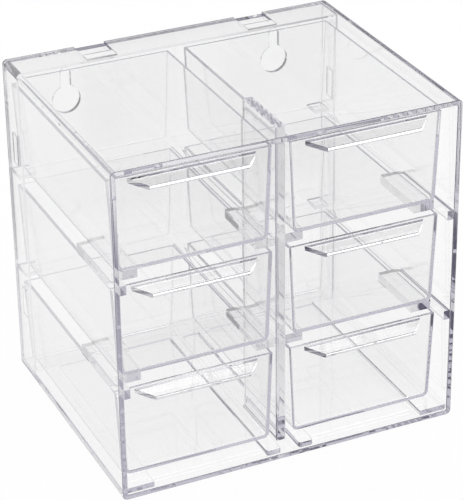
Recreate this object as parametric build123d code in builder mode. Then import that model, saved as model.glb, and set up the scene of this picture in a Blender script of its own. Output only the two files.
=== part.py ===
from build123d import *
import os

# A clear desk or wall organizer: a moulded sleeve, a snap-in back cover and six drawers.
# Millimetres. The origin is the middle of the underside, +X to the right, -Y to the front, +Z up.

# Sleeve: a tube of four walls, open at the front and at the rear
cabinet_width = 180.0
cabinet_depth = 142.0
cabinet_height = 175.0
sleeve_wall = 2.6
sleeve_corner_radius = 2.5
sleeve_inner_radius = 1.0
sleeve_edge_round = 0.4

# Centre post and the short ledges that carry the upper drawers
post_width = 5.1
post_depth = 37.0
post_setback = 12.0
post_corner_radius = 0.8
ledge_setback = 14.0
ledge_thickness = 5.0
outer_ledge_width = 14.4
inner_ledge_width = 10.0
wall_rib_width = 3.3

# Runners on the floor under the bottom drawers
runner_height = 2.8
runner_setback = 1.5
runner_post_gap = 2.4
runner_end_radius = 1.5

# Drawers: two columns and three rows of one thin drafted box
row_names = ("bottom", "middle", "top")
drawer_setback = 12.0
drawer_rear_gap = 8.0
drawer_running_gap = 0.3
drawer_head_gap = 7.3
drawer_seat_clearance = 0.2
drawer_wall = 1.4
drawer_floor = 1.5
drawer_draft = 2.2
drawer_keel_radius = 3.4
drawer_end_round = 0.7
drawer_inner_round = 0.8
rim_round = 0.3

# Handle: a flat lip along the top of each drawer front, with slanted ends
handle_end_inset = 8.3
handle_end_slant = 7.6
handle_projection = 9.2
handle_drop = 1.3
handle_rim_drop = 0.8
handle_thickness = 2.4
handle_edge_round = 0.5

# Back cover: a plate with a flange that slides into the sleeve and snaps into its windows
cover_clearance = 0.2
cover_plate = 2.2
cover_flange_wall = 1.2
cover_flange_depth = 18.0
rest_depth = 11.0
rest_thickness = 2.4
rest_width = 10.0
snap_length = 16.0
snap_hook_depth = 6.0
snap_web_drop = 1.2
snap_window_setback = 12.0
top_snap_offset = 44.0
side_snap_offset = 43.8

# Keyholes in the back cover, for two screws in a wall
keyhole_spacing = 116.0
keyhole_drop = 28.5
keyhole_radius = 7.5
keyhole_neck_width = 5.5
keyhole_neck_rise = 17.0

# Every cut runs this far past the face that it opens
cut_overrun = 1.0

# Places that follow from the sizes above
front_y = -cabinet_depth / 2
rear_y = cabinet_depth / 2
inner_width = cabinet_width - 2 * sleeve_wall
inner_height = cabinet_height - 2 * sleeve_wall
cabinet_middle_z = cabinet_height / 2

post_front_y = front_y + post_setback
post_rear_y = post_front_y + post_depth
ledge_front_y = front_y + ledge_setback
ledge_length = post_rear_y - ledge_front_y
ledge_middle_y = (ledge_front_y + post_rear_y) / 2
inner_ledge_span = post_width + 2 * inner_ledge_width
outer_ledge_x = (inner_width - outer_ledge_width) / 2

rib_front_y = front_y + sleeve_edge_round
rib_length = ledge_front_y - rib_front_y
rib_middle_y = (rib_front_y + ledge_front_y) / 2
rib_x = (inner_width - wall_rib_width) / 2

cover_front_y = rear_y - cover_flange_depth
runner_front_y = front_y + runner_setback
runner_rear_y = cover_front_y - cover_clearance
runner_length = runner_rear_y - runner_front_y
runner_middle_y = (runner_front_y + runner_rear_y) / 2
inner_runner_width = inner_ledge_width - runner_post_gap
inner_runner_x = post_width / 2 + runner_post_gap + inner_runner_width / 2

# Each seat is the level that a row of drawers slides on
first_seat_z = sleeve_wall + runner_height
row_pitch = (cabinet_height - sleeve_wall - first_seat_z) / len(row_names)
seat_heights = [first_seat_z + row * row_pitch for row in range(len(row_names))]

cell_width = (inner_width - post_width) / 2
column_x = (post_width + cell_width) / 2
drawer_height = row_pitch - drawer_head_gap
drawer_front_y = front_y + drawer_setback
drawer_rear_y = rear_y - drawer_rear_gap
drawer_side_gap = cover_clearance + cover_flange_wall + drawer_running_gap
drawer_width = cell_width - 2 * drawer_side_gap
drawer_depth = drawer_rear_y - drawer_front_y

snap_window_y = rear_y - snap_window_setback
snap_window_depth = snap_hook_depth + 2 * cover_clearance
snap_window_length = snap_length + 2 * cover_clearance
side_snap_heights = (cabinet_middle_z - side_snap_offset, cabinet_middle_z + side_snap_offset)
keyhole_z = cabinet_height - keyhole_drop

# Planes that look from the front: their normals point at -Y
rear_plane = Plane.XZ.offset(-rear_y)
cover_inner_plane = Plane.XZ.offset(cover_plate - rear_y)


def finish(builder, name):
    builder.part.label = name
    export_step(builder.part, f"parts/{name}.step")


os.makedirs("parts", exist_ok=True)

# Sleeve with its post, ledges, floor runners and snap windows
with BuildPart() as sleeve:
    with BuildSketch(rear_plane):
        with Locations((0, cabinet_middle_z)):
            RectangleRounded(cabinet_width, cabinet_height, sleeve_corner_radius)
            RectangleRounded(inner_width, inner_height, sleeve_inner_radius, mode=Mode.SUBTRACT)
    extrude(amount=cabinet_depth)
    end_edges = sleeve.edges().group_by(Axis.Y)
    fillet(end_edges[0] + end_edges[-1], sleeve_edge_round)

    with BuildSketch(Plane.XY.offset(sleeve_wall)):
        with Locations((0, (post_front_y + post_rear_y) / 2)):
            RectangleRounded(post_width, post_depth, post_corner_radius)
    extrude(amount=inner_height)

    # The ledges stand on the post and on both side walls, where a rib carries them on to the front
    for seat_z in seat_heights[1:]:
        with BuildSketch(Plane.XY.offset(seat_z - ledge_thickness)):
            with Locations((0, ledge_middle_y)):
                Rectangle(inner_ledge_span, ledge_length)
            with Locations((-outer_ledge_x, ledge_middle_y), (outer_ledge_x, ledge_middle_y)):
                Rectangle(outer_ledge_width, ledge_length)
            with Locations((-rib_x, rib_middle_y), (rib_x, rib_middle_y)):
                Rectangle(wall_rib_width, rib_length)
        extrude(amount=ledge_thickness)

    with BuildSketch(Plane.XY.offset(sleeve_wall)):
        with Locations((-inner_runner_x, runner_middle_y), (inner_runner_x, runner_middle_y)):
            RectangleRounded(inner_runner_width, runner_length, runner_end_radius)
        with Locations((-outer_ledge_x, runner_middle_y), (outer_ledge_x, runner_middle_y)):
            Rectangle(outer_ledge_width, runner_length)
    extrude(amount=runner_height)

    # Notches in the top and bottom walls, open at the rear, take the long snaps of the cover
    notch_depth = cover_flange_depth + cover_clearance + cut_overrun
    notch_y = rear_y + cut_overrun - notch_depth / 2
    with BuildSketch(Plane.XY.offset(-cut_overrun)):
        with Locations((-top_snap_offset, notch_y), (top_snap_offset, notch_y)):
            Rectangle(snap_window_length, notch_depth)
    extrude(amount=cabinet_height + 2 * cut_overrun, mode=Mode.SUBTRACT)

    # Windows in the side walls take the short snaps
    with BuildSketch(Plane.YZ.offset(-cabinet_width / 2 - cut_overrun)):
        with Locations(*[(snap_window_y, z) for z in side_snap_heights]):
            Rectangle(snap_window_depth, snap_window_length)
    extrude(amount=cabinet_width + 2 * cut_overrun, mode=Mode.SUBTRACT)
finish(sleeve, "cabinet_sleeve")

# Back cover with its flange, snaps, keyholes and rear rests for the upper drawers
cover_width = inner_width - 2 * cover_clearance
cover_height = inner_height - 2 * cover_clearance
cover_radius = sleeve_inner_radius - cover_clearance
flange_length = cover_flange_depth - cover_plate
with BuildPart() as back_cover:
    with BuildSketch(rear_plane):
        with Locations((0, cabinet_middle_z)):
            RectangleRounded(cover_width, cover_height, cover_radius)
    extrude(amount=cover_plate)
    with BuildSketch(cover_inner_plane):
        with Locations((0, cabinet_middle_z)):
            RectangleRounded(cover_width, cover_height, cover_radius)
            Rectangle(
                cover_width - 2 * cover_flange_wall,
                cover_height - 2 * cover_flange_wall,
                mode=Mode.SUBTRACT,
            )
    extrude(amount=flange_length)

    # Long snaps at the top and bottom: a hook at the front end and a lower web behind it
    for side in (-1, 1):
        flange_face_z = cabinet_middle_z + side * cover_height / 2
        hook_rise = side * (cover_clearance + sleeve_wall)
        web_rise = side * (cover_clearance + sleeve_wall - snap_web_drop)
        hook_y = cover_front_y + snap_hook_depth / 2
        web_y = (cover_front_y + rear_y) / 2
        with BuildSketch(Plane.XY.offset(flange_face_z)):
            with Locations((-top_snap_offset, hook_y), (top_snap_offset, hook_y)):
                Rectangle(snap_length, snap_hook_depth)
        extrude(amount=hook_rise)
        with BuildSketch(Plane.XY.offset(flange_face_z)):
            with Locations((-top_snap_offset, web_y), (top_snap_offset, web_y)):
                Rectangle(snap_length, cover_flange_depth)
        extrude(amount=web_rise)

    # Short snaps at the sides
    for side in (-1, 1):
        with BuildSketch(Plane.YZ.offset(side * cover_width / 2)):
            with Locations(*[(snap_window_y, z) for z in side_snap_heights]):
                Rectangle(snap_hook_depth, snap_length)
        extrude(amount=side * (cover_clearance + sleeve_wall))

    # Rear rests: small shelves at both sides under the upper drawers, level with the ledges
    rest_y = rear_y - cover_plate - rest_depth / 2
    outer_rest_x = (cover_width - rest_width) / 2
    for seat_z in seat_heights[1:]:
        with BuildSketch(Plane.XY.offset(seat_z - rest_thickness)):
            with Locations((-outer_rest_x, rest_y), (outer_rest_x, rest_y)):
                Rectangle(rest_width, rest_depth)
        extrude(amount=rest_thickness)

    # Keyholes: a round hole for the screw's head and a neck above it for the shank
    neck_length = keyhole_neck_rise - keyhole_neck_width / 2
    with BuildSketch(Plane.XZ.offset(-rear_y - cut_overrun)):
        for x in (-keyhole_spacing / 2, keyhole_spacing / 2):
            with Locations((x, keyhole_z)):
                Circle(keyhole_radius)
            with Locations((x, keyhole_z + neck_length / 2)):
                Rectangle(keyhole_neck_width, neck_length)
            with Locations((x, keyhole_z + neck_length)):
                Circle(keyhole_neck_width / 2)
    extrude(amount=cover_plate + 2 * cut_overrun, mode=Mode.SUBTRACT)
finish(back_cover, "back_cover")


# A drawer: a thin trough with drafted sides and a lip to pull it by
def build_drawer(middle_x, base_z):
    base_width = drawer_width - 2 * drawer_draft
    floor_width = base_width + 2 * drawer_draft * drawer_floor / drawer_height
    rim_z = base_z + drawer_height

    with BuildPart() as drawer:
        # The outline of the front runs to the rear, and then the inside is taken out the same way
        with BuildSketch(Plane((middle_x, drawer_rear_y, base_z), (1, 0, 0), (0, -1, 0))) as outline:
            with BuildLine():
                Polyline(
                    (-base_width / 2, 0),
                    (base_width / 2, 0),
                    (drawer_width / 2, drawer_height),
                    (-drawer_width / 2, drawer_height),
                    close=True,
                )
            make_face()
            fillet(outline.vertices().group_by(Axis.Y)[0], drawer_keel_radius)
        extrude(amount=drawer_depth)
        ends = drawer.faces().sort_by(Axis.Y)
        front_edges = ends[0].edges().sort_by(Axis.Z)[:-1]
        rear_edges = ends[-1].edges().sort_by(Axis.Z)[:-1]
        fillet(front_edges + rear_edges, drawer_end_round)
        inner_rear_y = drawer_rear_y - drawer_wall
        with BuildSketch(Plane((middle_x, inner_rear_y, base_z), (1, 0, 0), (0, -1, 0))) as inside:
            with BuildLine():
                Polyline(
                    (-floor_width / 2 + drawer_wall, drawer_floor),
                    (floor_width / 2 - drawer_wall, drawer_floor),
                    (drawer_width / 2 - drawer_wall, drawer_height),
                    (-drawer_width / 2 + drawer_wall, drawer_height),
                    close=True,
                )
            make_face()
            fillet(inside.vertices().group_by(Axis.Y)[0], drawer_keel_radius - drawer_wall)
        extrude(amount=drawer_depth - 2 * drawer_wall, mode=Mode.SUBTRACT)
        inner_ends = drawer.faces().filter_by(Axis.Y).sort_by(Axis.Y)[1:3]
        inner_edges = [e for face in inner_ends for e in face.edges().sort_by(Axis.Z)[:-1]]
        fillet(inner_edges, drawer_inner_round)
        fillet(drawer.faces().sort_by(Axis.Z)[-1].outer_wire().edges(), rim_round)

        # The lip slopes down from just under the rim, so its plane leans forward
        lip_length = (handle_projection**2 + handle_drop**2) ** 0.5
        root_half = drawer_width / 2 - handle_end_inset
        front_half = root_half - handle_end_slant
        root_depth = drawer_wall / 2
        lip_plane = Plane(
            origin=(middle_x, drawer_front_y, rim_z - handle_rim_drop),
            x_dir=(1, 0, 0),
            z_dir=(0, -handle_drop, handle_projection),
        )
        with BuildSketch(lip_plane):
            with BuildLine():
                Polyline(
                    (-root_half, root_depth),
                    (-root_half, 0),
                    (-front_half, -lip_length),
                    (front_half, -lip_length),
                    (root_half, 0),
                    (root_half, root_depth),
                    close=True,
                )
            make_face()
        extrude(amount=-handle_thickness)
        fillet(drawer.edges().filter_by(Axis.X).sort_by(Axis.Y)[:2], handle_edge_round)
    return drawer


for row_name, seat_z in zip(row_names, seat_heights):
    for column_name, middle_x in (("left", -column_x), ("right", column_x)):
        drawer = build_drawer(middle_x, seat_z + drawer_seat_clearance)
        finish(drawer, f"drawer_{row_name}_{column_name}")
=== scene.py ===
# %% [markdown]
# A clear organizer cabinet for a dressing table: a moulded sleeve, a snap-in back cover and six drawers.
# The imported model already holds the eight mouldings, each in its place, so nothing is moved here. The
# lesson gives them the look of clear polystyrene, and then sets up a white studio and a camera.

# %% Load the mouldings
import bpy
import math
from mathutils import Matrix, Vector

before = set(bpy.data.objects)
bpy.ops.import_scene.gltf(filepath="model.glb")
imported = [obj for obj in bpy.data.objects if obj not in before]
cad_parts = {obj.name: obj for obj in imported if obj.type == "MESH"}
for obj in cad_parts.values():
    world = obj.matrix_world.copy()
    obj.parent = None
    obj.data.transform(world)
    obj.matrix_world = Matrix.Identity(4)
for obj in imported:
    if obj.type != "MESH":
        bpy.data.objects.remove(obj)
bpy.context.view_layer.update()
MM = 0.001
print("mouldings:", sorted(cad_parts))

# %% [markdown]
# A line of sight crosses the top wall, a drawer, its floor and the back cover, and every wall has two
# faces. Light that runs along inside a wall, as in a light guide, bounces off its faces many times more.
# Cycles stops after 12 bounces by default, and everything beyond that turns black. A high limit lets that
# light come out again at the edges, where it gives the pale lavender lines of a real clear moulding. The
# Standard view shows colours as they are written, so that white paper stays white.

# %% Let light pass through every wall
face_crossings = 160

scene = bpy.context.scene
scene.cycles.max_bounces = face_crossings
scene.cycles.transmission_bounces = face_crossings
scene.cycles.glossy_bounces = face_crossings
scene.view_settings.view_transform = "Standard"
print("bounces of light:", scene.cycles.max_bounces)

# %% [markdown]
# Colours are easiest to write as sRGB hex values, the way a paint program shows them, but the renderer
# works in linear light. One function turns the first into the second, by the standard curve. White is
# needed so often here that it gets a name.


# %% Hex colours to linear light
def linear(hex_colour):
    values = [int(hex_colour[i : i + 2], 16) / 255 for i in (1, 3, 5)]
    return [v / 12.92 if v <= 0.04045 else ((v + 0.055) / 1.055) ** 2.4 for v in values] + [1.0]


white = linear("#ffffff")
print("white is", white, "and middle grey", round(linear("#808080")[0], 3), "in linear light")

# %% [markdown]
# Each finish below is a small tree of nodes. One function adds a node, fills in its settings and links its
# inputs, so that a tree reads as a short list. An input goes by its label, with underscores for spaces, or
# by its number where a node has several inputs of one name. None leaves a numbered input as it is. A link
# may start at a node, which then gives its first output, or at one output of a node.


# %% Add one node
def add_node(tree, kind, settings=None, numbered=(), **named):
    node = tree.nodes.new("ShaderNode" + kind)
    for name, value in (settings or {}).items():
        if isinstance(name, str) and hasattr(node, name):
            setattr(node, name, value)
        else:
            node.inputs[name].default_value = value
    labelled = [(label.replace("_", " "), source) for label, source in named.items()]
    for label, source in [*enumerate(numbered), *labelled]:
        if source is not None:
            tree.links.new(getattr(source, "outputs", [source])[0], node.inputs[label])
    return node


def fresh_tree(owner):
    owner.use_nodes = True
    owner.node_tree.nodes.clear()
    return owner.node_tree


print("node helpers ready:", add_node.__name__, fresh_tree.__name__)

# %% [markdown]
# All eight pieces are general-purpose polystyrene, injection-moulded in polished steel. It is the clearest
# of the cheap plastics and bends light strongly: its index is 1.59. So the flat walls nearly vanish, and
# the eye finds the object by its edges. Two faults of a real moulding keep it from looking like computer
# glass. The skin has shallow ripples where the melt flowed and shrank, and it is a little hazy in patches
# from handling. The ripples are a bump, some centimetres long, and the haze is a trace of roughness that
# comes and goes.
#
# The bulk of the plastic has a faint lavender-grey cast, from the toner that hides its natural yellow.
# Through a thin wall it can't be seen. Along a wall, where light travels 100 mm and more, it tints the
# edges. That is what absorption in the volume does, and a tint painted on the surface couldn't.

# %% Clear polystyrene
polystyrene_index = 1.59
toner_cast = linear("#8f8aa8")
ripple_depth_mm = 0.05
ripple_detail = 1.0
haze_patch_mm = 14
haze_detail = 3.0
haze_begins, haze_full = 0.45, 0.75
haze_roughness = 0.006


def clear_polystyrene(name, ripple_mm, toner_density):
    material = bpy.data.materials.new(name)
    tree = fresh_tree(material)
    place = add_node(tree, "TexCoord").outputs["Object"]
    ripple_size = {"Scale": 1 / (ripple_mm * MM), "Detail": ripple_detail}
    flow = add_node(tree, "TexNoise", ripple_size, Vector=place)
    ripple = add_node(tree, "Bump", {"Distance": ripple_depth_mm * MM}, Height=flow.outputs["Fac"])
    patch_size = {"Scale": 1 / (haze_patch_mm * MM), "Detail": haze_detail}
    patches = add_node(tree, "TexNoise", patch_size, Vector=place)
    haze = add_node(
        tree,
        "MapRange",
        {"From Min": haze_begins, "From Max": haze_full, "To Max": haze_roughness},
        Value=patches.outputs["Fac"],
    )
    skin = add_node(
        tree,
        "BsdfPrincipled",
        {"Base Color": white, "IOR": polystyrene_index, "Transmission Weight": 1.0},
        Roughness=haze,
        Normal=ripple,
    )
    bulk = add_node(tree, "VolumeAbsorption", {"Color": toner_cast, "Density": toner_density})
    add_node(tree, "OutputMaterial", Surface=skin, Volume=bulk)
    print(name, "has ripples of", ripple_mm, "mm and toner density", toner_density)
    return material


# %% [markdown]
# The sleeve, the cover and the drawers come out of three moulds, so they get three batches of the same
# plastic. The sleeve is the heaviest shot and takes the most toner, and the thin drawers take the least.
# The melt runs freest in the flat cover, so its ripples are the longest. In the small drawers they are
# the shortest.

# %% Dress the sleeve, the cover and the drawers
batches = {
    "cabinet_sleeve": clear_polystyrene("sleeve_polystyrene", ripple_mm=45, toner_density=1.5),
    "back_cover": clear_polystyrene("cover_polystyrene", ripple_mm=55, toner_density=1.2),
    "drawer": clear_polystyrene("drawer_polystyrene", ripple_mm=35, toner_density=0.6),
}
for name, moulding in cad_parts.items():
    batch = batches["drawer" if name.startswith("drawer") else name]
    moulding.data.materials.clear()
    moulding.data.materials.append(batch)
    print(name, "is", batch.name)

# %% [markdown]
# A clear object shows what is behind it and, fainter, what is around it. In a catalogue photograph the
# sheet behind is white and the room around is darker: it draws the panels in pale grey and the edges in
# dark lines. Both can be had at once, because Light Path's Glossy Depth counts the mirror bounces on a
# ray's way. At zero the ray came straight from the eye, through any number of walls, and finds white. At
# one or two it was mirrored by some face, and finds the room. After several it was caught inside a wall,
# as in a light guide. A real moulding takes a little light from it at every bounce, so it comes out as
# lavender-grey. Here the sheet gives such a ray painted lavender-grey light and shade, and the room a
# pale lavender.
#
# The floor and the room both need this count, so one function turns it into a share between 0 and 1.

# %% Count the mirror bounces
room_bounces = (0, 2)
guide_bounces = (2, 6)


def mirrored_share(tree, bounces):
    count = add_node(tree, "LightPath").outputs["Glossy Depth"]
    return add_node(tree, "MapRange", {"From Min": bounces[0], "From Max": bounces[1]}, Value=count)


print("the room shows in full at bounce", room_bounces[1], "and the light guide at", guide_bounces[1])

# %% [markdown]
# The floor is a wide sheet of white paper, a hair under the cabinet so that the two faces don't flicker.

# %% White paper sheet
paper_reach = 3.0
paper_drop = 0.2 * MM

paper_mesh = bpy.data.meshes.new("paper_floor")
corner_signs = [(-1, -1), (1, -1), (1, 1), (-1, 1)]
paper_corners = [(x * paper_reach, y * paper_reach, -paper_drop) for x, y in corner_signs]
paper_mesh.from_pydata(paper_corners, [], [(0, 1, 2, 3)])
paper_floor = bpy.data.objects.new("paper_floor", paper_mesh)
scene.collection.objects.link(paper_floor)
print("sheet of", 2 * paper_reach, "m")

# %% [markdown]
# In a mirror the sheet isn't white all over. Its glow has painted light round the cabinet and at its back,
# and painted shade in front, where the camera stands, and farther off. The clear panels face the front, so
# they mirror that painted dark part and turn a pale grey.

# %% The sheet in a mirror
dark_front_y, lit_back_y = -0.10, -0.06
lit_back_level = 0.84
lit_radius, dark_radius = 0.45, 0.75

paper = bpy.data.materials.new("white_paper")
tree = fresh_tree(paper)
place = add_node(tree, "TexCoord").outputs["Object"]
spot = add_node(tree, "SeparateXYZ", Vector=place)
front_to_back = add_node(
    tree,
    "MapRange",
    {"From Min": dark_front_y, "From Max": lit_back_y, "To Max": lit_back_level},
    Value=spot.outputs["Y"],
)
distance = add_node(tree, "VectorMath", {"operation": "LENGTH"}, [place]).outputs["Value"]
near_to_far = add_node(
    tree,
    "MapRange",
    {"From Min": lit_radius, "From Max": dark_radius, "To Min": 1.0, "To Max": 0.0},
    Value=distance,
)
# painted light and shade in the sheet's glow, seen only in a mirror
mirror_level = add_node(tree, "Math", {"operation": "MULTIPLY"}, [front_to_back, near_to_far])
in_mirror = add_node(tree, "Emission", {"Color": white}, Strength=mirror_level)
print("lit to", lit_radius, "m round the cabinet, dark in front of y =", dark_front_y)

# %% [markdown]
# Light that ran along inside a wall leaves at its rear edge and looks down on the sheet behind the
# cabinet. So the tone of that place is the tone of the wall's front edge. The sheet's glow has painted
# light at the left and painted shade at the right, which makes the right and bottom edges the dark ones.

# %% The sheet seen along a wall
pale_left_x, dark_right_x = -0.08, 0.04
# painted light at the left of the sheet and painted shade at its right
painted_light_left, painted_shade_right = linear("#b8b6c2"), linear("#524f63")

left_to_right = add_node(
    tree, "MapRange", {"From Min": pale_left_x, "From Max": dark_right_x}, Value=spot.outputs["X"]
)
pale_left = add_node(tree, "Emission", {"Color": painted_light_left})
dark_right = add_node(tree, "Emission", {"Color": painted_shade_right})
guide = add_node(tree, "MixShader", None, [left_to_right, pale_left, dark_right])
print("pale up to x =", pale_left_x, "and dark from x =", dark_right_x)

# %% [markdown]
# Two painted pools of light break this up. One lies behind the cabinet and keeps the edge of the top
# bright.
# The other lies under the centre post, whose top would otherwise be a dark bar: whoever looks down into
# the post sees the sheet at its foot. Each pool has a middle, a radius up to which it is fully lit and a
# radius at which it ends.

# %% Painted pools of light
back_pool = (0.10, 0.36, 0.0), 0.12, 0.20
post_pool = (0.0, -0.035, 0.0), 0.03, 0.09

# the painted light of both pools
pool = add_node(tree, "Emission", {"Color": white})
for middle, full_radius, end_radius in (back_pool, post_pool):
    from_middle = add_node(tree, "VectorMath", {"operation": "DISTANCE", 1: middle}, [place])
    pool_share = add_node(
        tree,
        "MapRange",
        {"From Min": full_radius, "From Max": end_radius, "To Min": 1.0, "To Max": 0.0},
        Value=from_middle.outputs["Value"],
    )
    guide = add_node(tree, "MixShader", None, [pool_share, guide, pool])
    print("pool of lamp light at", middle[:2], "m")

# %% [markdown]
# The bounces choose between the three looks of the sheet. All of them glow, so that the sheet is white in
# the picture without any lamp, and a small share of plain paper takes the soft shade of the cabinet.

# %% Put the sheet together
paper_tone = linear("#f2f2f2")
paper_shade_share = 0.03

straight = add_node(tree, "Emission", {"Color": white})
sheet = add_node(tree, "MixShader", None, [mirrored_share(tree, room_bounces), straight, in_mirror])
glow = add_node(tree, "MixShader", None, [mirrored_share(tree, guide_bounces), sheet, guide])
shade = add_node(tree, "BsdfDiffuse", {"Color": paper_tone})
shaded = add_node(tree, "MixShader", {0: paper_shade_share}, [None, glow, shade])
add_node(tree, "OutputMaterial", Surface=shaded)
paper_mesh.materials.append(paper)
print("nodes in the paper:", len(tree.nodes))

# %% [markdown]
# The room is pale low down and dark higher up. A ring of soft boxes hangs high round the cabinet and puts
# thin white lights on the rounded edges. The ceiling in the middle of the ring is dark again, so that the
# top still shows when seen from above. Lamps could be built for all this, but a clear object only mirrors
# them, so the world alone is enough: the height of a ray's direction, from 0 at the horizon to 1 straight
# up, picks the brightness from a ramp. A brightness of 1 is white.

# %% Room by height
dark_room = linear("#2c2a3a")
room_levels = [
    (0.0, 1.0),
    (0.06, 0.7),
    (0.56, 0.8),
    (0.66, 0.0),
    (0.74, 3.0),
    (0.84, 3.0),
    (0.9, 0.2),
]

studio = bpy.data.worlds.new("studio")
scene.world = studio
tree = fresh_tree(studio)
place = add_node(tree, "TexCoord").outputs["Generated"]
direction = add_node(tree, "SeparateXYZ", Vector=place)
room = add_node(tree, "ValToRGB", Fac=direction.outputs["Z"])
stops = room.color_ramp.elements
for number, (height, brightness) in enumerate(room_levels):
    stop = stops[number] if number < len(stops) else stops.new(height)
    stop.position = height
    stop.color = [dark + brightness * (1 - dark) for dark in dark_room[:3]] + [1.0]
walls = add_node(tree, "Background", Color=room)
print("room levels by height:", room_levels)

# %% [markdown]
# Two dark cards stand at the left and right: photographers place them there to draw the edges of glass.
# The eye itself finds a white backdrop, and light out of a wall's edge finds a pale lavender.

# %% Cards and backdrop
card_begins, card_full = 0.74, 0.86
room_guide_tone = linear("#cfcdd7")

card = add_node(tree, "Background", {"Color": dark_room})
sideways = add_node(tree, "Math", {"operation": "ABSOLUTE"}, [direction.outputs["X"]])
card_share = add_node(tree, "MapRange", {"From Min": card_begins, "From Max": card_full}, Value=sideways)
around = add_node(tree, "MixShader", None, [card_share, walls, card])
backdrop = add_node(tree, "Background", {"Color": white})
from_eye = add_node(tree, "LightPath").outputs["Is Camera Ray"]
sight = add_node(tree, "MixShader", None, [from_eye, around, backdrop])
room_guide = add_node(tree, "Background", {"Color": room_guide_tone})
seen = add_node(tree, "MixShader", None, [mirrored_share(tree, guide_bounces), sight, room_guide])
add_node(tree, "OutputWorld", Surface=seen)
print("nodes in the studio:", len(tree.nodes))

# %% [markdown]
# The camera stands in front, to the left and above, and looks down on the cabinet. Its place was found
# from the straight outlines of the cabinet in the photograph. Three directions say how it is turned: back,
# from the cabinet to the camera, right and up. The small roll is the tilt of the picture.

# %% Directions of the camera
view_azimuth = math.radians(-24.457)
view_elevation = math.radians(28.115)
view_roll = math.radians(-0.752)

back = Vector(
    (
        math.sin(view_azimuth) * math.cos(view_elevation),
        -math.cos(view_azimuth) * math.cos(view_elevation),
        math.sin(view_elevation),
    )
)
level_right = Vector((math.cos(view_azimuth), math.sin(view_azimuth), 0))
right = Matrix.Rotation(view_roll, 3, back) @ level_right
up = back.cross(right)
print("from the cabinet to the camera:", [round(part, 3) for part in back])

# %% [markdown]
# The focal length is given in pixels of the picture's longer side, and turns into millimetres on a sensor
# of that size. A lift along the picture's own upward direction puts the cabinet in the middle.

# %% Camera
view_distance = 1.1535
view_lift = 0.0718
focal_px = 2217.1
picture_px = 500
sensor_mm = 36

lens = bpy.data.cameras.new("camera")
lens.sensor_width = sensor_mm
lens.lens = focal_px / picture_px * sensor_mm
camera = bpy.data.objects.new("camera", lens)
scene.collection.objects.link(camera)
turn = Matrix((right, up, back)).transposed().to_4x4()
camera.matrix_world = Matrix.Translation(back * view_distance + up * view_lift) @ turn
scene.camera = camera
print("lens in mm:", round(lens.lens, 1))
